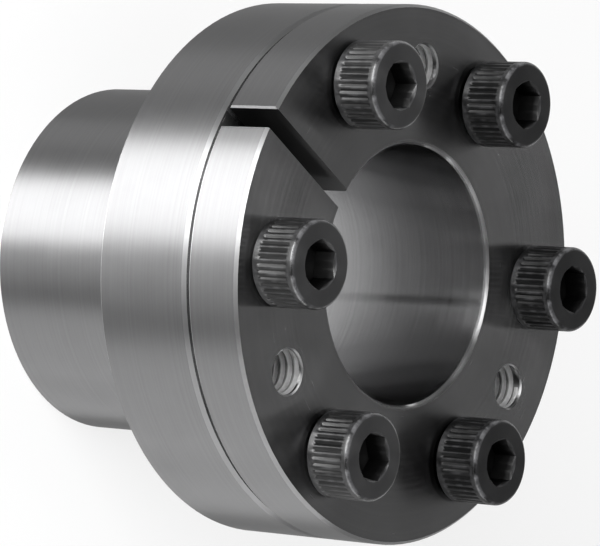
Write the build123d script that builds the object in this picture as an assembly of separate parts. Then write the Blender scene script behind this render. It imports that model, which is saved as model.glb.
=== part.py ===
from build123d import *
import math
import os

# Shaft locking assembly for a 30 mm shaft in a 41 mm hub bore, in millimetres.
#
# Two slit rings meet on a slow cone. Six cap screws pull the inner ring into the outer ring, which
# closes the inner ring on the shaft and spreads the outer ring in the hub.
#
# The axis is +Z. The part stands on the rear end of the outer ring, with the flange and the screw
# heads on top, and the origin is the centre of that rear end.

# Shaft and hub
shaft_diameter = 30.0
sleeve_wall = 5.5  # both rings together, from the shaft to the hub
hub_seat_length = 25.2

# Collar of the outer ring and flange of the inner ring
collar_thickness = 12.6
ring_gap = 0.4  # left between collar and flange before the screws are tightened
flange_thickness = 7.0
rim_past_heads = 2.0

# Cone between the two rings
taper_half_angle = 4.0
small_end_wall = 1.6  # of the inner ring
small_end_setback = 1.5  # of the inner ring from the rear end
taper_play = 0.08

# Slit of each ring, and the broken edges along its mouth
inner_slit_width = 2.5
outer_slit_width = 2.5
slit_edge_break = 0.25
inner_slit_angle = 59.3
outer_slit_angle = -60.0

# Edges
edge_chamfer = 0.4
front_edge_chamfer = 0.35
bore_chamfer = 0.45
hole_chamfer = 0.3

# Clamp screws
screw_count = 6
first_screw_angle = 30.0
screw_diameter = 6.0
thread_play = 0.06
thread_engagement = 10.4
seat_to_thread_wall = 0.5  # from the hub seat out to the tapped holes
flange_hole_play = 0.2
head_seat_gap = 0.2
head_diameter = 10.0
head_height = 6.0
head_top_round = 0.5
head_foot_chamfer = 0.4
tip_chamfer = 0.6
socket_across_flats = 5.0
socket_depth = 3.0
socket_lead_in = 0.3
socket_drill_angle = 60.0
socket_turns = (8.0, 31.0, 52.0, 17.0, 44.0, 26.0)

# Straight knurl round each head
rib_count = 40
rib_height = 0.16
rib_crest_width = 0.2
plain_band_below_ribs = 1.0
plain_band_above_ribs = 0.9

# Jacking holes in the flange
jacking_hole_count = 3

# Radii that follow
bore_radius = shaft_diameter / 2
hub_seat_radius = bore_radius + sleeve_wall
screw_radius = screw_diameter / 2
head_radius = head_diameter / 2
screw_circle_radius = hub_seat_radius + seat_to_thread_wall + screw_radius
rim_radius = screw_circle_radius + head_radius + rim_past_heads

# Heights that follow
collar_rear_z = hub_seat_length
collar_front_z = collar_rear_z + collar_thickness
flange_rear_z = collar_front_z + ring_gap
flange_front_z = flange_rear_z + flange_thickness
head_seat_z = flange_front_z + head_seat_gap
screw_tip_z = collar_front_z - thread_engagement
over_cut = 1.0  # how far a cutter runs past the face that it opens


def inner_cone_radius(z):
    """Outside of the inner ring's cone at a height."""
    rise = z - small_end_setback
    return bore_radius + small_end_wall + rise * math.tan(math.radians(taper_half_angle))


def outer_cone_radius(z):
    """Inside of the outer ring's cone at a height."""
    return inner_cone_radius(z) + taper_play


def turned(outline):
    """Solid of revolution about +Z from (radius, height) points."""
    face = Plane.XZ * make_face(Polyline(*outline, close=True))
    return revolve(face, Axis.Z)


def drilled(radius, bottom_z, top_z):
    """Cutter for a through hole on the Z axis, with its two mouths broken."""
    mouth_radius = radius + hole_chamfer
    outline = [
        (0, bottom_z - over_cut),
        (mouth_radius, bottom_z - over_cut),
        (mouth_radius, bottom_z),
        (radius, bottom_z + hole_chamfer),
        (radius, top_z - hole_chamfer),
        (mouth_radius, top_z),
        (mouth_radius, top_z + over_cut),
        (0, top_z + over_cut),
    ]
    return turned(outline)


def slit(width, mouth_radius, bottom_z, top_z, angle):
    """Cutter for a radial slit from the axis out, with a broken edge at its mouth."""
    half = width / 2
    inner = mouth_radius - slit_edge_break
    outer = mouth_radius + over_cut
    flare = half + slit_edge_break + over_cut
    outline = [(0, -half), (inner, -half), (outer, -flare), (outer, flare), (inner, half), (0, half)]
    face = make_face(Polyline(*outline, close=True))
    return Pos(0, 0, bottom_z) * Rot(0, 0, angle) * extrude(face, top_z - bottom_z)


def on_circle(angle):
    """Place on the screw circle at an angle from +X, at height 0."""
    turn = math.radians(angle)
    return Pos(screw_circle_radius * math.cos(turn), screw_circle_radius * math.sin(turn), 0)


def screw_angle(index):
    """Angle of a clamp screw from +X."""
    return first_screw_angle + index * 360 / screw_count


def make_outer_ring():
    """Sleeve and collar in one, with the inside cone, the tapped holes and one slit."""
    mouth_radius = outer_cone_radius(collar_front_z)
    rear_radius = outer_cone_radius(0)
    outline = [
        (rear_radius + edge_chamfer, 0),
        (hub_seat_radius - edge_chamfer, 0),
        (hub_seat_radius, edge_chamfer),
        (hub_seat_radius, collar_rear_z),
        (rim_radius - edge_chamfer, collar_rear_z),
        (rim_radius, collar_rear_z + edge_chamfer),
        (rim_radius, collar_front_z - edge_chamfer),
        (rim_radius - edge_chamfer, collar_front_z),
        (mouth_radius + edge_chamfer, collar_front_z),
        (outer_cone_radius(collar_front_z - edge_chamfer), collar_front_z - edge_chamfer),
        (outer_cone_radius(edge_chamfer), edge_chamfer),
    ]
    ring = turned(outline)
    tapped_hole = drilled(screw_radius, collar_rear_z, collar_front_z)
    for index in range(screw_count):
        ring -= on_circle(screw_angle(index)) * tapped_hole
    ring -= slit(outer_slit_width, hub_seat_radius, -over_cut, collar_rear_z, outer_slit_angle)
    ring -= slit(outer_slit_width, rim_radius, collar_rear_z, collar_front_z + over_cut, outer_slit_angle)
    return ring


def make_inner_ring():
    """Flange and taper in one, with the shaft bore, the holes for the screws and one slit."""
    outline = [
        (bore_radius + edge_chamfer, small_end_setback),
        (inner_cone_radius(small_end_setback) - edge_chamfer, small_end_setback),
        (inner_cone_radius(small_end_setback + edge_chamfer), small_end_setback + edge_chamfer),
        (inner_cone_radius(flange_rear_z), flange_rear_z),
        (rim_radius - edge_chamfer, flange_rear_z),
        (rim_radius, flange_rear_z + edge_chamfer),
        (rim_radius, flange_front_z - front_edge_chamfer),
        (rim_radius - front_edge_chamfer, flange_front_z),
        (bore_radius + bore_chamfer, flange_front_z),
        (bore_radius, flange_front_z - bore_chamfer),
        (bore_radius, small_end_setback + edge_chamfer),
    ]
    ring = turned(outline)
    clearance_hole = drilled(screw_radius + flange_hole_play, flange_rear_z, flange_front_z)
    for index in range(screw_count):
        ring -= on_circle(screw_angle(index)) * clearance_hole
    jacking_hole = drilled(screw_radius, flange_rear_z, flange_front_z)
    for index in range(jacking_hole_count):
        ring -= on_circle(index * 360 / jacking_hole_count) * jacking_hole
    cone_mouth = inner_cone_radius(flange_rear_z)
    ring -= slit(inner_slit_width, cone_mouth, 0, flange_rear_z, inner_slit_angle)
    ring -= slit(inner_slit_width, rim_radius, flange_rear_z, flange_front_z + over_cut, inner_slit_angle)
    return ring


def knurl_grooves():
    """Cutter for the V grooves between the ribs of a head whose foot is at height 0."""
    half_pitch = math.pi / rib_count
    groove_width = 2 * half_pitch * head_radius - rib_crest_width
    flank_tip_radius = head_radius + rib_height * rib_crest_width / groove_width
    star = []
    for index in range(2 * rib_count):
        radius = flank_tip_radius if index % 2 == 0 else head_radius - rib_height
        star.append((radius * math.cos(index * half_pitch), radius * math.sin(index * half_pitch)))
    band = Circle(head_radius + over_cut) - make_face(Polyline(*star, close=True))
    height = head_height - plain_band_below_ribs - plain_band_above_ribs
    return Pos(0, 0, plain_band_below_ribs) * extrude(band, height)


def make_screw(socket_turn):
    """Cap screw on the Z axis with the foot of its head at height 0 and its shank below."""
    shank_radius = screw_radius - thread_play
    shank_length = head_seat_z - screw_tip_z
    round_start = head_height - head_top_round
    outline = Polyline(
        (0, -shank_length),
        (shank_radius - tip_chamfer, -shank_length),
        (shank_radius, tip_chamfer - shank_length),
        (shank_radius, 0),
        (head_radius - head_foot_chamfer, 0),
        (head_radius, head_foot_chamfer),
        (head_radius, round_start),
    )
    top_round = RadiusArc(
        (head_radius, round_start), (head_radius - head_top_round, head_height), -head_top_round
    )
    closing = Polyline((head_radius - head_top_round, head_height), (0, head_height), (0, -shank_length))
    screw = revolve(Plane.XZ * make_face([outline, top_round, closing]), Axis.Z)
    screw -= knurl_grooves()
    hexagon = RegularPolygon(socket_across_flats / 2, 6, major_radius=False)
    socket_floor = head_height - socket_depth
    screw -= Pos(0, 0, socket_floor) * Rot(0, 0, socket_turn) * extrude(hexagon, socket_depth + over_cut)
    lead_radius = socket_across_flats / 2 + socket_lead_in
    drill_depth = socket_across_flats / 2 / math.tan(math.radians(socket_drill_angle))
    drill = [(0, socket_floor - drill_depth), (socket_across_flats / 2, socket_floor), (0, socket_floor)]
    screw -= turned(drill)
    lead_in = [
        (0, head_height - 2 * socket_lead_in),
        (lead_radius - socket_lead_in, head_height - socket_lead_in),
        (lead_radius + over_cut, head_height + over_cut),
        (0, head_height + over_cut),
    ]
    screw -= turned(lead_in)
    return screw


os.makedirs("parts", exist_ok=True)
export_step(make_outer_ring(), "parts/outer_ring.step")
export_step(make_inner_ring(), "parts/inner_ring.step")
for number in range(screw_count):
    turn = socket_turns[number % len(socket_turns)]
    seated = Pos(0, 0, head_seat_z) * on_circle(screw_angle(number)) * make_screw(turn)
    export_step(seated, f"parts/clamp_screw_{number + 1}.step")
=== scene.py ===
from collections import namedtuple
import math

import bpy
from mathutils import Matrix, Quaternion, Vector


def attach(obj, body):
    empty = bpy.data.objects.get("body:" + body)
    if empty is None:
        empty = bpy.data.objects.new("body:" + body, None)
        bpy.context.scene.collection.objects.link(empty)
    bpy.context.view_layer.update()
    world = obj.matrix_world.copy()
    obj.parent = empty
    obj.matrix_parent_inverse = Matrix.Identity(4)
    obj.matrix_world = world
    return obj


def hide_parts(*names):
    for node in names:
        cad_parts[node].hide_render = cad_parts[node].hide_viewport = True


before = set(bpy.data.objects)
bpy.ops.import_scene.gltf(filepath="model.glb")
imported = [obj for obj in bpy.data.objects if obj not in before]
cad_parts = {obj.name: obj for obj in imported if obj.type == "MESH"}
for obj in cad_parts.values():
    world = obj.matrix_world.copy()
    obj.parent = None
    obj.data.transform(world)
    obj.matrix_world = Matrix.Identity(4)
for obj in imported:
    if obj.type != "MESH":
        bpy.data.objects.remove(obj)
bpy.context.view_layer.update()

MM = 0.001

# Camera: it looks down on the standing part, and the picture is turned on its side
CAMERA_AIM_MM = (-0.473, 0.0, 29.177)
CAMERA_AZIMUTH = 181.395
CAMERA_ELEVATION = 38.875
CAMERA_ROLL = 93.273
CAMERA_DISTANCE_MM = 502.6
CAMERA_LENS_MM = 257.96

# Lamps and world, where 1 is white
WORLD_LEVEL = 0.34
LAMP_DISTANCE_MM = 900
LAMPS = (
    # name, azimuth, elevation, half width and half height in degrees, radiance
    ("key", 155, 8, 19, 8, 38.0),
    ("front", 160, 32, 25, 12, 3.4),
    ("middle", 190, 8, 9, 8, 3.2),
    ("fill_left_near", 234, 10, 22, 10, 5.6),
    ("fill_left_far", 274, 10, 19, 10, 4.8),
    ("fill_right_near", 104, 10, 11, 10, 1.9),
    ("fill_right_far", 25, 10, 25, 10, 1.2),
    ("fill_back", 335, 10, 20, 10, 0.6),
)

# Floor and backdrop, in metres
FLOOR_RADIUS = 2.4  # up to where the floor curves up
BACKDROP_HEIGHT = 0.5
FLOOR_DROP = 0.00002  # below the part
FLOOR_SIDES = 96
BACKDROP_STEPS = 8

# Paper of the floor
PAPER_LEVEL = 0.85
PAPER_WHITE_SHARE = 0.7  # near the part, where its shadow falls
SHADOW_RADIUS_MM = 400.0  # up to here the share holds, and from the next radius on it is 1
WHITE_RADIUS_MM = 850.0

# Rings
RIM_RADIUS_MM = 31.0
BORE_RADIUS_MM = 15.0
COLLAR_REAR_MM = 25.2
COLLAR_FRONT_MM = 37.8
FLANGE_REAR_MM = 38.2
FLANGE_FRONT_MM = 45.2

# Steel of the rings: its level, and how much lighter or darker it is in places, nearly all as painted light
# and shade: a painted glow deep in the bore, painted highlights on the chamfers and slit edges, painted shade
# on the sawn slit walls and painted light in the gap between collar and flange
STEEL_LEVEL = 0.18
DEEP_BORE_PAINTED_GLOW = 2.6
DEEP_BORE_MM = 20.0  # height down to which that painted glow grows, from the flange's rear face
BORE_EDGE_PAINTED_HIGHLIGHT = 1.5
RIM_EDGE_PAINTED_HIGHLIGHT = 1.75
SLIT_EDGE_PAINTED_HIGHLIGHT = 3.2
SAWN_PAINTED_SHADE = 0.45
GAP_PAINTED_LIGHT = 3.2
SIDE_ROUGHNESS = 0.5
FACE_ROUGHNESS = 0.23
BORE_ROUGHNESS = 0.19
SAWN_ROUGHNESS = 0.6
MARK_DEPTH_MM = 0.0015

# Oxide of the screws, as a lit copy and a darker shaded copy that paint light and shade on the heads: its
# specular level, and its colour level on the top of the head, which is lighter partly as worn oxide and
# partly as painted light
LIT_OXIDE = (0.38, 0.020)
SHADED_OXIDE = (0.14, 0.013)
LIT_SCREWS = 3  # the first ones take the lit copy, as painted light; the others take the darker shaded copy, as painted shade
WORN_LEVEL = 0.16
GRAIN_DEPTH_MM = 0.003

# Circle of the screws and the jacking holes
CIRCLE_RADIUS_MM = 24.0
SCREW_COUNT = 6
FIRST_SCREW_ANGLE = 30.0
JACKING_HOLE_COUNT = 3

# Shank of a clamp screw, M6
SHANK_RADIUS_MM = 2.94
SHANK_ROOT_MM = 2.42
SHANK_LENGTH_MM = 18.0
THREAD_PITCH_MM = 1.0
PLAIN_NECK_MM = 2.0
TIP_CHAMFER_MM = 0.6
THREAD_SAMPLES = 48
# Rows of a thread: share of the pitch, and share of the depth
THREAD_PROFILE = ((0.0, 0.0), (0.103, 0.0), (0.397, 1.0), (0.603, 1.0), (0.897, 0.0))
THREAD_MERGE_MM = 0.02  # rows this near to a plain ring, or past it, run into that ring

# Head of a clamp screw
HEAD_SEAT_MM = 45.4
HEAD_RADIUS_MM = 5.0
HEAD_HEIGHT_MM = 6.0
HEAD_FOOT_CHAMFER_MM = 0.4
HEAD_ROUND_MM = 0.5
HEAD_ROUND_STEPS = 6
RIB_COUNT = 40
RIB_DEPTH_MM = 0.2
# Points of a rib, from its crest: shares of the way to the next crest, and shares of the depth
RIB_PLACES = (0.0, 0.13, 0.31, 0.5, 0.69, 0.87)
RIB_DEPTHS = (0.0, 0.06, 0.62, 1.0, 0.62, 0.06)
# Ends of the ribs: height in mm, and share of the depth
RIB_ENDS = ((1.0, 0.0), (1.12, 0.55), (1.3, 1.0), (4.85, 1.0), (5.02, 0.55), (5.14, 0.0))

# Socket in the head
SOCKET_APOTHEM_MM = 2.5
SOCKET_LEAD_MM = 2.8
SOCKET_LEAD_STEP_MM = 0.1
SOCKET_LEAD_STEPS = 3
SOCKET_FLOOR_MM = 3.0
SOCKET_DRILL_MM = 2.42
SOCKET_POINT_MM = 1.56
SOCKET_TURNS = (8.0, 31.0, 52.0, 17.0, 44.0, 26.0)
SOCKET_STEP = 5  # in degrees, between the points round the hexagon

# Threads inside the tapped holes, each a ridge on the wall of a plain hole
HOLE_RADIUS_MM = 3.0
HOLE_END_MM = 0.35  # from a hole's end to its thread
RIDGE_CREST_MM = 2.51
RIDGE_WALL_HALF_MM = 0.40
RIDGE_CREST_HALF_MM = 0.11
RIDGE_SEAT_MM = 0.02  # into the wall
RIDGE_START_SHARE = 0.06  # of its height, at its very ends
JACKING_THREAD_SHIFT_MM = 0.3  # from one jacking hole's thread to the next

# Mouths of the jacking holes
MOUTH_SEAM_MM = 0.0015  # below the flange's face
MOUTH_LIP_END_MM = 0.45
MOUTH_SIDES = 64

SHARP_ANGLE = 32.0


def direction(azimuth, elevation):
    """Unit vector from the part towards an azimuth, counted as the camera's, and an elevation."""
    a = math.radians(azimuth)
    e = math.radians(elevation)
    return Vector((math.sin(a) * math.cos(e), -math.cos(a) * math.cos(e), math.sin(e)))


def on_circle(angle):
    """Place in mm on the circle of the screws and the jacking holes, at an angle from +X."""
    turn = math.radians(angle)
    return CIRCLE_RADIUS_MM * math.cos(turn), CIRCLE_RADIUS_MM * math.sin(turn)


def add_camera():
    data = bpy.data.cameras.new("camera")
    data.lens = CAMERA_LENS_MM
    data.clip_start = 0.01
    data.clip_end = 100.0
    camera = bpy.data.objects.new("camera", data)
    bpy.context.scene.collection.objects.link(camera)
    back = direction(CAMERA_AZIMUTH, CAMERA_ELEVATION)
    camera.location = (Vector(CAMERA_AIM_MM) + back * CAMERA_DISTANCE_MM) * MM
    camera.rotation_mode = "QUATERNION"
    level = (-back).to_track_quat("-Z", "Y")
    camera.rotation_quaternion = level @ Quaternion((0, 0, 1), math.radians(CAMERA_ROLL))
    bpy.context.scene.camera = camera


def add_softbox(name, azimuth, elevation, half_width, half_height, radiance):
    """Area lamp that faces the part and fills the angles given. Radiance is what a mirror shows of it."""
    data = bpy.data.lights.new(name, "AREA")
    data.shape = "RECTANGLE"
    data.size = 2 * LAMP_DISTANCE_MM * MM * math.tan(math.radians(half_width))
    data.size_y = 2 * LAMP_DISTANCE_MM * MM * math.tan(math.radians(half_height))
    data.energy = radiance * 4 * data.size * data.size_y
    lamp = bpy.data.objects.new(name, data)
    bpy.context.scene.collection.objects.link(lamp)
    place = direction(azimuth, elevation)
    lamp.location = place * LAMP_DISTANCE_MM * MM
    lamp.rotation_mode = "QUATERNION"
    lamp.rotation_quaternion = (-place).to_track_quat("-Z", "Y")
    lamp.visible_camera = False


def light_world():
    world = bpy.data.worlds.new("studio")
    bpy.context.scene.world = world
    world.use_nodes = True
    background = world.node_tree.nodes["Background"]
    background.inputs["Color"].default_value = (WORLD_LEVEL, WORLD_LEVEL, WORLD_LEVEL, 1)
    background.inputs["Strength"].default_value = 1.0


# Object position, its part across the axis, radius and height in mm, and the tangent round the axis
Polar = namedtuple("Polar", "place across radius height tangent")


class Nodes:
    """Short way to write a material's node tree."""

    def __init__(self, name):
        self.material = bpy.data.materials.new(name)
        self.material.use_nodes = True
        self.tree = self.material.node_tree
        self.tree.nodes.clear()
        self.output = self.tree.nodes.new("ShaderNodeOutputMaterial")

    def new(self, kind, **settings):
        node = self.tree.nodes.new(kind)
        for key, value in settings.items():
            setattr(node, key, value)
        return node

    def put(self, value, socket):
        """Link a socket, or set a number."""
        if isinstance(value, bpy.types.NodeSocket):
            self.tree.links.new(value, socket)
        else:
            socket.default_value = value

    def math(self, operation, first, second=0.0, third=0.0):
        node = self.new("ShaderNodeMath", operation=operation)
        self.put(first, node.inputs[0])
        self.put(second, node.inputs[1])
        if operation == "MULTIPLY_ADD":
            self.put(third, node.inputs[2])
        return node.outputs[0]

    def step(self, value, low, high):
        """Smooth rise from 0 at low to 1 at high, and level beyond them. Low may be above high."""
        node = self.new("ShaderNodeMapRange", interpolation_type="SMOOTHSTEP")
        self.put(value, node.inputs["Value"])
        flip = low > high
        node.inputs["From Min"].default_value = min(low, high)
        node.inputs["From Max"].default_value = max(low, high)
        node.inputs["To Min"].default_value = 1.0 if flip else 0.0
        node.inputs["To Max"].default_value = 0.0 if flip else 1.0
        return node.outputs["Result"]

    def blend(self, share, first, second):
        """Number between two numbers."""
        node = self.new("ShaderNodeMix", data_type="FLOAT")
        self.put(share, node.inputs["Factor"])
        self.put(first, node.inputs["A"])
        self.put(second, node.inputs["B"])
        return node.outputs["Result"]

    def grey(self, level, tint=(1.0, 1.0, 1.0)):
        """Colour of a level, with a slight tint."""
        node = self.new("ShaderNodeCombineColor")
        for channel, name in zip(tint, ("Red", "Green", "Blue")):
            self.put(self.math("MULTIPLY", level, channel), node.inputs[name])
        return node.outputs["Color"]

    def polar(self):
        place = self.new("ShaderNodeTexCoord").outputs["Object"]
        split = self.new("ShaderNodeSeparateXYZ")
        self.put(place, split.inputs[0])
        across = self.new("ShaderNodeCombineXYZ")
        self.put(split.outputs["X"], across.inputs["X"])
        self.put(split.outputs["Y"], across.inputs["Y"])
        length = self.new("ShaderNodeVectorMath", operation="LENGTH")
        self.put(across.outputs[0], length.inputs[0])
        radius = self.math("MULTIPLY", length.outputs["Value"], 1 / MM)
        height = self.math("MULTIPLY", split.outputs["Z"], 1 / MM)
        around = self.new("ShaderNodeVectorMath", operation="CROSS_PRODUCT")
        around.inputs[0].default_value = (0, 0, 1)
        self.put(across.outputs[0], around.inputs[1])
        tangent = self.new("ShaderNodeVectorMath", operation="NORMALIZE")
        self.put(around.outputs[0], tangent.inputs[0])
        return Polar(place, across.outputs[0], radius, height, tangent.outputs[0])

    def noise(self, scale, detail, vector=None, position=None, roughness=0.5):
        """Noise around 0.5, in space or along one number."""
        dimensions = "1D" if position is not None else "3D"
        node = self.new("ShaderNodeTexNoise", noise_dimensions=dimensions)
        if position is not None:
            self.put(position, node.inputs["W"])
        else:
            self.put(vector, node.inputs["Vector"])
        node.inputs["Scale"].default_value = scale
        node.inputs["Detail"].default_value = detail
        node.inputs["Roughness"].default_value = roughness
        return node.outputs["Fac"]

    def relief(self, height, depth_mm, shader):
        """Fine bumps on a shader."""
        bump = self.new("ShaderNodeBump")
        bump.inputs["Strength"].default_value = 1.0
        bump.inputs["Distance"].default_value = depth_mm * MM
        self.put(height, bump.inputs["Height"])
        self.put(bump.outputs[0], shader.inputs["Normal"])

    def done(self, shader):
        self.put(shader.outputs[0], self.output.inputs["Surface"])
        return self.material


def floor_paper():
    """White paper: it shows white to the camera and in the metal, and takes the part's shadow near it.

    The disc that shows through the bore is white as well, as painted light: it takes no shadow there and
    brightens what the bore's walls reflect.
    """
    n = Nodes("floor_paper")
    paper = n.new("ShaderNodeBsdfDiffuse")
    paper.inputs["Color"].default_value = (PAPER_LEVEL, PAPER_LEVEL, PAPER_LEVEL, 1)
    white = n.new("ShaderNodeEmission")
    path = n.new("ShaderNodeLightPath")
    seen = n.math("MAXIMUM", path.outputs["Is Camera Ray"], path.outputs["Is Glossy Ray"])
    seen = n.math("MAXIMUM", seen, path.outputs["Is Transmission Ray"])
    radius = n.polar().radius
    share = n.blend(n.step(radius, SHADOW_RADIUS_MM, WHITE_RADIUS_MM), PAPER_WHITE_SHARE, 1.0)
    # Painted light: pure white under the bore, without the part's shadow
    share = n.blend(n.step(radius, BORE_RADIUS_MM + 2.0, BORE_RADIUS_MM), share, 1.0)
    mix = n.new("ShaderNodeMixShader")
    n.put(n.math("MULTIPLY", seen, share), mix.inputs["Fac"])
    n.put(paper.outputs[0], mix.inputs[1])
    n.put(white.outputs[0], mix.inputs[2])
    return n.done(mix)


def add_floor():
    """Round floor whose rim curves up to a low backdrop, so that a low view ends on paper as well."""
    profile = [(FLOOR_RADIUS, 0.0)]
    for step in range(1, BACKDROP_STEPS + 1):
        turn = math.radians(90 * step / BACKDROP_STEPS)
        radius = FLOOR_RADIUS + BACKDROP_HEIGHT * math.sin(turn)
        profile.append((radius, BACKDROP_HEIGHT * (1 - math.cos(turn))))
    points = []
    for radius, z in profile:
        for i in range(FLOOR_SIDES):
            turn = math.tau * i / FLOOR_SIDES
            points.append((radius * math.cos(turn), radius * math.sin(turn), z))
    faces = [tuple(range(FLOOR_SIDES))]
    for start in range(0, len(points) - FLOOR_SIDES, FLOOR_SIDES):
        for i in range(FLOOR_SIDES):
            here = start + i
            ahead = start + (i + 1) % FLOOR_SIDES
            faces.append((here, here + FLOOR_SIDES, ahead + FLOOR_SIDES, ahead))
    mesh = bpy.data.meshes.new("floor")
    mesh.from_pydata(points, [], faces)
    mesh.shade_smooth()
    mesh.materials.append(floor_paper())
    floor = bpy.data.objects.new("floor", mesh)
    bpy.context.scene.collection.objects.link(floor)
    floor.location.z = -FLOOR_DROP


def turned_steel():
    """Fine turned steel: the marks run round the axis, so the gloss is drawn out across them."""
    n = Nodes("turned_steel")
    steel = n.new("ShaderNodeBsdfPrincipled")
    steel.inputs["Metallic"].default_value = 1.0
    steel.inputs["Anisotropic"].default_value = 1.0
    steel.inputs["Anisotropic Rotation"].default_value = 0.25
    at = n.polar()
    n.put(at.tangent, steel.inputs["Tangent"])

    # How far the surface faces along the axis, and how far away from it
    geometry = n.new("ShaderNodeNewGeometry")
    normal = n.new("ShaderNodeSeparateXYZ")
    n.put(geometry.outputs["True Normal"], normal.inputs[0])
    upright = n.math("ABSOLUTE", normal.outputs["Z"])
    outward = n.new("ShaderNodeVectorMath", operation="NORMALIZE")
    n.put(at.across, outward.inputs[0])
    facing = n.new("ShaderNodeVectorMath", operation="DOT_PRODUCT")
    n.put(outward.outputs[0], facing.inputs[0])
    n.put(geometry.outputs["True Normal"], facing.inputs[1])
    facing_out = n.math("ABSOLUTE", facing.outputs["Value"])

    # Kinds of surface, each 1 where it lies and 0 elsewhere
    face = n.step(upright, 0.85, 0.97)
    bore = n.step(at.radius, BORE_RADIUS_MM + 0.4, BORE_RADIUS_MM + 0.1)
    chamfer = n.math("MULTIPLY", n.step(upright, 0.4, 0.6), n.step(upright, 0.92, 0.8))
    # Sawn walls of the slits: rougher, and darker as painted shade
    sawn = n.math("MULTIPLY", n.step(facing_out, 0.3, 0.15), n.step(upright, 0.3, 0.15))
    # Broken edges of the slits near the rim, lighter there as a painted highlight
    slit_edge = n.math("MULTIPLY", n.step(facing_out, 0.92, 0.82), n.step(facing_out, 0.4, 0.5))
    slit_edge = n.math("MULTIPLY", slit_edge, n.step(upright, 0.3, 0.15))
    slit_edge = n.math("MULTIPLY", slit_edge, n.step(at.radius, RIM_RADIUS_MM - 0.9, RIM_RADIUS_MM - 0.6))
    # Faces inside the gap between collar and flange, lighter as painted light where shade would fall
    gap = n.math("MULTIPLY", face, n.step(at.height, COLLAR_FRONT_MM - 0.2, COLLAR_FRONT_MM - 0.05))
    gap = n.math("MULTIPLY", gap, n.step(at.height, FLANGE_REAR_MM + 0.2, FLANGE_REAR_MM + 0.05))
    gap = n.math("MULTIPLY", gap, n.step(at.radius, RIM_RADIUS_MM - 5.0, RIM_RADIUS_MM - 1.0))

    marks = n.noise(2.4, 2.0, position=n.math("ADD", at.radius, at.height), roughness=0.65)
    marks_off = n.math("SUBTRACT", marks, 0.5)
    smudge = n.noise(160.0, 3.0, vector=at.place, roughness=0.55)
    smudge_off = n.math("SUBTRACT", smudge, 0.5)

    level = n.math("MULTIPLY_ADD", marks_off, 0.3, 1.0)
    level = n.math("MULTIPLY_ADD", smudge_off, 0.35, level)
    level = n.math("MULTIPLY", level, STEEL_LEVEL)
    # Painted glow: the bore's steel gets lighter deeper down, standing in for light coming up through the
    # bore
    bore_painted_glow = n.blend(n.step(at.height, FLANGE_REAR_MM, DEEP_BORE_MM), 1.0, DEEP_BORE_PAINTED_GLOW)
    # Painted highlight: chamfers lighter, less on the bore's edges than on the rims
    outer_edge = n.step(at.radius, BORE_RADIUS_MM + 1.0, BORE_RADIUS_MM + 2.0)
    edge_painted_highlight = n.blend(outer_edge, BORE_EDGE_PAINTED_HIGHLIGHT, RIM_EDGE_PAINTED_HIGHLIGHT)
    for kind, gain in (
        (bore, bore_painted_glow),
        (chamfer, edge_painted_highlight),
        (slit_edge, SLIT_EDGE_PAINTED_HIGHLIGHT),
        (sawn, SAWN_PAINTED_SHADE),
        (gap, GAP_PAINTED_LIGHT),
    ):
        level = n.math("MULTIPLY", level, n.blend(kind, 1.0, gain))
    n.put(n.grey(level, (1.0, 1.0, 1.01)), steel.inputs["Base Color"])

    rough = n.blend(face, SIDE_ROUGHNESS, FACE_ROUGHNESS)
    rough = n.blend(bore, rough, BORE_ROUGHNESS)
    rough = n.blend(sawn, rough, SAWN_ROUGHNESS)
    rough = n.math("MULTIPLY_ADD", marks_off, 0.10, rough)
    rough = n.math("MULTIPLY_ADD", smudge_off, 0.16, rough)
    n.put(rough, steel.inputs["Roughness"])
    n.relief(marks, MARK_DEPTH_MM, steel)
    return n.done(steel)


def black_oxide(name, gloss, top_wear_and_light_level):
    """Black oxide on a screw, worn through a little on the crests of the knurl and on the edges; its top is
    lighter than its side, partly as worn oxide and partly as painted light.
    """
    n = Nodes(name)
    steel = n.new("ShaderNodeBsdfPrincipled")
    steel.inputs["Specular IOR Level"].default_value = gloss
    steel.inputs["Anisotropic"].default_value = 0.9
    steel.inputs["Anisotropic Rotation"].default_value = 0.25
    at = n.polar()
    n.put(at.tangent, steel.inputs["Tangent"])

    patches = n.noise(700.0, 4.0, vector=at.place, roughness=0.6)
    patches_off = n.math("SUBTRACT", patches, 0.5)
    grain = n.noise(9000.0, 2.0, vector=at.place)

    crest = n.step(at.radius, HEAD_RADIUS_MM - 0.07, HEAD_RADIUS_MM - 0.01)
    above = n.math("SUBTRACT", at.height, HEAD_HEIGHT_MM - HEAD_ROUND_MM)
    past = n.math("SUBTRACT", at.radius, HEAD_RADIUS_MM - HEAD_ROUND_MM)
    rounded = n.math("ADD", n.math("MAXIMUM", above, 0.0), n.math("MAXIMUM", past, 0.0))
    top_edge = n.step(rounded, 0.52, 0.70)
    wear = n.math("MAXIMUM", n.math("MULTIPLY", crest, 0.1), n.math("MULTIPLY", top_edge, 0.5))
    wear = n.math("MULTIPLY", wear, n.step(patches, 0.38, 0.68))

    # Top of the head lighter than the knurled side: partly worn oxide, partly painted light
    top = n.step(at.height, HEAD_HEIGHT_MM - 0.25, HEAD_HEIGHT_MM - 0.05)
    level = n.blend(top, 0.002, top_wear_and_light_level)
    level = n.math("MULTIPLY", level, n.math("MULTIPLY_ADD", patches_off, 0.8, 1.0))
    level = n.blend(wear, level, WORN_LEVEL)
    n.put(n.grey(level, (1.0, 1.0, 1.04)), steel.inputs["Base Color"])
    n.put(n.math("MULTIPLY", wear, 0.7), steel.inputs["Metallic"])
    rough = n.math("MULTIPLY_ADD", patches_off, 0.2, 0.38)
    rough = n.blend(top_edge, rough, 0.25)
    n.put(rough, steel.inputs["Roughness"])
    n.relief(grain, GRAIN_DEPTH_MM, steel)
    return n.done(steel)


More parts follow.
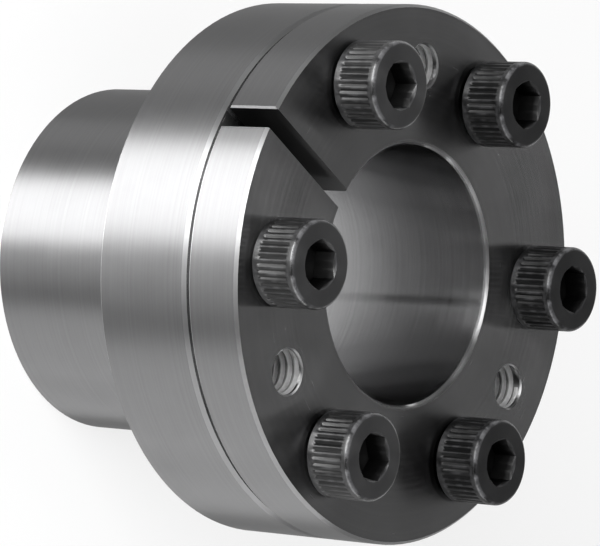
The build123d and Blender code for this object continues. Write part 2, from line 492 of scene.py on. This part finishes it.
def cut_and_painted_bright_thread():
    """Bright steel of a freshly tapped thread, made lighter still as painted light where the lamps would
    catch it in the holes.
    """
    n = Nodes("cut_and_painted_bright_thread")
    steel = n.new("ShaderNodeBsdfPrincipled")
    steel.inputs["Metallic"].default_value = 1.0
    place = n.new("ShaderNodeTexCoord").outputs["Object"]
    tears = n.noise(1800.0, 3.0, vector=place)
    # Light grey: partly bright fresh steel, partly painted light in the holes
    n.put(n.grey(n.math("MULTIPLY_ADD", tears, 0.3, 0.66)), steel.inputs["Base Color"])
    n.put(n.math("MULTIPLY_ADD", tears, 0.3, 0.40), steel.inputs["Roughness"])
    return n.done(steel)


class Shell:
    """A closed skin in millimetres, built ring by ring along a profile, from the tip of a form to its end."""

    def __init__(self):
        self.points = []
        self.faces = []

    def point(self, x, y, z):
        self.points.append((x * MM, y * MM, z * MM))
        return len(self.points) - 1

    def ring(self, angles, radii, z):
        ids = []
        for angle, radius in zip(angles, radii):
            turn = math.radians(angle)
            ids.append(self.point(radius * math.cos(turn), radius * math.sin(turn), z))
        return ids

    def face(self, *ids):
        """Face between points, where neighbours may be the same point."""
        kept = [i for k, i in enumerate(ids) if i != ids[k - 1]]
        if len(kept) > 2:
            self.faces.append(tuple(kept))

    def skin(self, first, second):
        """Faces between two rings of as many points."""
        count = len(first)
        for i in range(count):
            j = (i + 1) % count
            self.face(first[i], first[j], second[j], second[i])

    def zip_rings(self, first, first_angles, second, second_angles):
        """Triangles between two rings whose points stand at other angles."""
        a, b = 0, 0
        while a < len(first) or b < len(second):
            next_a = first_angles[a + 1] if a + 1 < len(first) else first_angles[0] + 360
            next_b = second_angles[b + 1] if b + 1 < len(second) else second_angles[0] + 360
            here_a, here_b = first[a % len(first)], second[b % len(second)]
            if b == len(second) or (a < len(first) and next_a <= next_b):
                self.face(here_a, first[(a + 1) % len(first)], here_b)
                a += 1
            else:
                self.face(here_a, second[(b + 1) % len(second)], here_b)
                b += 1

    def close(self, ring, tip, starts):
        """Triangles from a ring to a point, where the profile starts or where it ends."""
        count = len(ring)
        for i in range(count):
            j = (i + 1) % count
            if starts:
                self.face(tip, ring[j], ring[i])
            else:
                self.face(ring[i], ring[j], tip)

    def piece(self, name, material):
        """Object of this skin."""
        mesh = bpy.data.meshes.new(name)
        mesh.from_pydata(self.points, [], self.faces)
        mesh.validate()
        mesh.shade_smooth()
        mesh.set_sharp_from_angle(angle=math.radians(SHARP_ANGLE))
        mesh.materials.append(material)
        piece = bpy.data.objects.new(name, mesh)
        bpy.context.scene.collection.objects.link(piece)
        return piece


def place_on_circle(piece, angle, z_mm):
    x, y = on_circle(angle)
    piece.location = (x * MM, y * MM, z_mm * MM)


def add_shank(shell):
    """Threaded shank below height 0. It returns the angles and ids of its last ring, under the head."""
    angles = [360 * i / THREAD_SAMPLES for i in range(THREAD_SAMPLES)]
    tip = shell.ring(angles, [SHANK_RADIUS_MM - TIP_CHAMFER_MM] * THREAD_SAMPLES, -SHANK_LENGTH_MM)
    neck = shell.ring(angles, [SHANK_RADIUS_MM] * THREAD_SAMPLES, -PLAIN_NECK_MM)
    under_head = shell.ring(angles, [SHANK_RADIUS_MM] * THREAD_SAMPLES, 0.0)
    shell.close(tip, shell.point(0, 0, -SHANK_LENGTH_MM), True)
    add_thread_rows(shell, tip, neck)
    shell.skin(neck, under_head)
    return angles, under_head


def add_thread_rows(shell, tip, neck):
    """Skin of a right-hand thread between the plain rings of tip and neck, with its rows along the helix."""
    tip_z = -SHANK_LENGTH_MM
    neck_z = -PLAIN_NECK_MM
    first = math.floor(tip_z / THREAD_PITCH_MM) - 1
    last = math.ceil(neck_z / THREAD_PITCH_MM) + 1
    rows = {}

    def row_point(row, sample):
        row += len(THREAD_PROFILE) * (sample // THREAD_SAMPLES)
        sample %= THREAD_SAMPLES
        if (row, sample) not in rows:
            turn, step = divmod(row, len(THREAD_PROFILE))
            share, depth = THREAD_PROFILE[step]
            z = (turn + share + sample / THREAD_SAMPLES) * THREAD_PITCH_MM
            if z <= tip_z + THREAD_MERGE_MM:
                rows[row, sample] = tip[sample]
            elif z >= neck_z - THREAD_MERGE_MM:
                rows[row, sample] = neck[sample]
            else:
                fade = min(1.0, (neck_z - z) / THREAD_PITCH_MM)
                radius = SHANK_RADIUS_MM - depth * fade * (SHANK_RADIUS_MM - SHANK_ROOT_MM)
                radius = min(radius, SHANK_RADIUS_MM - TIP_CHAMFER_MM + z - tip_z)
                angle = math.tau * sample / THREAD_SAMPLES
                rows[row, sample] = shell.point(radius * math.cos(angle), radius * math.sin(angle), z)
        return rows[row, sample]

    for row in range(len(THREAD_PROFILE) * first, len(THREAD_PROFILE) * last):
        for sample in range(THREAD_SAMPLES):
            shell.face(
                row_point(row, sample),
                row_point(row, sample + 1),
                row_point(row + 1, sample + 1),
                row_point(row + 1, sample),
            )


def add_head(shell, shank_angles, under_head):
    """Knurled head on a shank, up to its rounded top edge. It returns the angles and ids of its last ring."""
    angles = []
    for rib in range(RIB_COUNT):
        for share in RIB_PLACES:
            angles.append((rib + share) * 360 / RIB_COUNT)
    profile = [(0.0, HEAD_RADIUS_MM - HEAD_FOOT_CHAMFER_MM, 0.0), (HEAD_FOOT_CHAMFER_MM, HEAD_RADIUS_MM, 0.0)]
    for z, rib_share in RIB_ENDS:
        profile.append((z, HEAD_RADIUS_MM, rib_share))
    for step in range(HEAD_ROUND_STEPS + 1):
        turn = math.radians(90 * step / HEAD_ROUND_STEPS)
        z = HEAD_HEIGHT_MM - HEAD_ROUND_MM + HEAD_ROUND_MM * math.sin(turn)
        profile.append((z, HEAD_RADIUS_MM - HEAD_ROUND_MM + HEAD_ROUND_MM * math.cos(turn), 0.0))
    rings = []
    for z, radius, rib_share in profile:
        radii = [radius - rib_share * RIB_DEPTH_MM * depth for depth in RIB_DEPTHS] * RIB_COUNT
        rings.append(shell.ring(angles, radii, z))
    shell.zip_rings(under_head, shank_angles, rings[0], angles)
    for lower, upper in zip(rings, rings[1:]):
        shell.skin(lower, upper)
    return angles, rings[-1]


def add_socket(shell, head_angles, head_top, turn):
    """Hexagon socket with a lead-in cone at its mouth and a drill point in its floor."""
    angles = [turn % SOCKET_STEP + SOCKET_STEP * i for i in range(360 // SOCKET_STEP)]
    walls = []
    for angle in angles:
        off = (angle - turn + 30) % 60 - 30
        walls.append(SOCKET_APOTHEM_MM / math.cos(math.radians(off)))
    rings = []
    for step in range(SOCKET_LEAD_STEPS + 1):
        cone = SOCKET_LEAD_MM - SOCKET_LEAD_STEP_MM * step
        z = HEAD_HEIGHT_MM - SOCKET_LEAD_STEP_MM * step
        rings.append(shell.ring(angles, [max(cone, wall) for wall in walls], z))
    rings.append(shell.ring(angles, walls, SOCKET_FLOOR_MM))
    rings.append(shell.ring(angles, [SOCKET_DRILL_MM] * len(angles), SOCKET_FLOOR_MM))
    shell.zip_rings(head_top, head_angles, rings[0], angles)
    for upper, lower in zip(rings, rings[1:]):
        shell.skin(upper, lower)
    shell.close(rings[-1], shell.point(0, 0, SOCKET_POINT_MM), False)


def add_screw(number, angle, material):
    """Cap screw in place of its plain solid, with its thread, its knurl and its socket."""
    shell = Shell()
    shank_angles, under_head = add_shank(shell)
    head_angles, head_top = add_head(shell, shank_angles, under_head)
    add_socket(shell, head_angles, head_top, SOCKET_TURNS[number - 1])
    piece = shell.piece(f"cap_screw_{number}", material)
    place_on_circle(piece, angle, HEAD_SEAT_MM)
    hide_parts(f"clamp_screw_{number}")
    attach(piece, f"clamp_screw_{number}")


def add_thread_ridge(name, angle, low_mm, high_mm, phase_mm, body, material):
    """Thread of a tapped hole: a helical ridge on its wall, which runs out into the wall at both ends."""
    shell = Shell()
    start = low_mm + RIDGE_WALL_HALF_MM
    end = high_mm - RIDGE_WALL_HALF_MM
    first = math.ceil((start - phase_mm) / THREAD_PITCH_MM * THREAD_SAMPLES)
    last = math.floor((end - phase_mm) / THREAD_PITCH_MM * THREAD_SAMPLES)
    run_out = THREAD_SAMPLES / 4
    wall = HOLE_RADIUS_MM + RIDGE_SEAT_MM
    sections = []
    for sample in range(first, last + 1):
        grown = min(1.0, RIDGE_START_SHARE + min(sample - first, last - sample) / run_out)
        crest = wall - grown * (wall - RIDGE_CREST_MM)
        crest_half = RIDGE_WALL_HALF_MM - grown * (RIDGE_WALL_HALF_MM - RIDGE_CREST_HALF_MM)
        z = phase_mm + sample / THREAD_SAMPLES * THREAD_PITCH_MM
        turn = math.tau * sample / THREAD_SAMPLES
        section = []
        for radius, off in (
            (wall, -RIDGE_WALL_HALF_MM),
            (crest, -crest_half),
            (crest, crest_half),
            (wall, RIDGE_WALL_HALF_MM),
        ):
            section.append(shell.point(radius * math.cos(turn), radius * math.sin(turn), z + off))
        sections.append(section)
    for here, ahead in zip(sections, sections[1:]):
        shell.skin(here, ahead)
    shell.face(*sections[-1])
    shell.face(*reversed(sections[0]))
    piece = shell.piece(name, material)
    place_on_circle(piece, angle, 0)
    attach(piece, body)


def add_hole_mouth(number, angle, material):
    """Mouth of a jacking hole, where the thread's crests bring the opening down to its core diameter.

    Its origin stays on the part's axis, so that the turning marks of the flange run on over it.
    """
    shell = Shell()
    profile = [
        (HOLE_RADIUS_MM + 0.13, 0.21),
        (HOLE_RADIUS_MM + 0.34, MOUTH_SEAM_MM),
        (RIDGE_CREST_MM + 0.22, MOUTH_SEAM_MM),
        (RIDGE_CREST_MM + 0.05, 0.17),
        (RIDGE_CREST_MM + 0.05, MOUTH_LIP_END_MM),
        (HOLE_RADIUS_MM + 0.02, 0.62),
    ]
    centre_x, centre_y = on_circle(angle)
    rings = []
    for radius, depth in profile:
        ring = []
        for i in range(MOUTH_SIDES):
            turn = math.tau * i / MOUTH_SIDES
            x = centre_x + radius * math.cos(turn)
            y = centre_y + radius * math.sin(turn)
            ring.append(shell.point(x, y, FLANGE_FRONT_MM - depth))
        rings.append(ring)
    for here, ahead in zip(rings, rings[1:] + rings[:1]):
        shell.skin(here, ahead)
    piece = shell.piece(f"jacking_mouth_{number}", material)
    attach(piece, "inner_ring")


def add_screws(thread_steel):
    """The clamp screws, and the threads that they run in."""
    lit_oxide = black_oxide("lit_oxide", *LIT_OXIDE)
    shaded_oxide = black_oxide("shaded_oxide", *SHADED_OXIDE)
    ridge_in_groove_mm = HEAD_SEAT_MM % THREAD_PITCH_MM + THREAD_PITCH_MM / 2
    for number in range(1, SCREW_COUNT + 1):
        # Painted light and shade: the screws on the lit side get the lighter, glossier copy, and the others
        # get the darker one
        oxide = lit_oxide if number <= LIT_SCREWS else shaded_oxide
        angle = FIRST_SCREW_ANGLE + (number - 1) * 360 / SCREW_COUNT
        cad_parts[f"clamp_screw_{number}"].material_slots[0].material = oxide
        add_screw(number, angle, oxide)
        add_thread_ridge(
            f"tapped_thread_{number}",
            angle,
            COLLAR_REAR_MM + HOLE_END_MM,
            COLLAR_FRONT_MM - HOLE_END_MM,
            ridge_in_groove_mm,
            "outer_ring",
            thread_steel,
        )


def add_jacking_holes(ring_steel, thread_steel):
    for hole in range(JACKING_HOLE_COUNT):
        angle = 360 / JACKING_HOLE_COUNT * hole
        add_hole_mouth(hole + 1, angle, ring_steel)
        add_thread_ridge(
            f"jacking_thread_{hole + 1}",
            angle,
            FLANGE_REAR_MM + HOLE_END_MM,
            FLANGE_FRONT_MM - MOUTH_LIP_END_MM,
            JACKING_THREAD_SHIFT_MM * hole,
            "inner_ring",
            thread_steel,
        )


bpy.context.scene.view_settings.view_transform = "Standard"
add_camera()
add_floor()
light_world()
for lamp_row in LAMPS:
    add_softbox(*lamp_row)

turned = turned_steel()
cut_and_lit_thread = cut_and_painted_bright_thread()
for node_name in ("outer_ring", "inner_ring"):
    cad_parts[node_name].material_slots[0].material = turned
add_screws(cut_and_lit_thread)
add_jacking_holes(turned, cut_and_lit_thread)
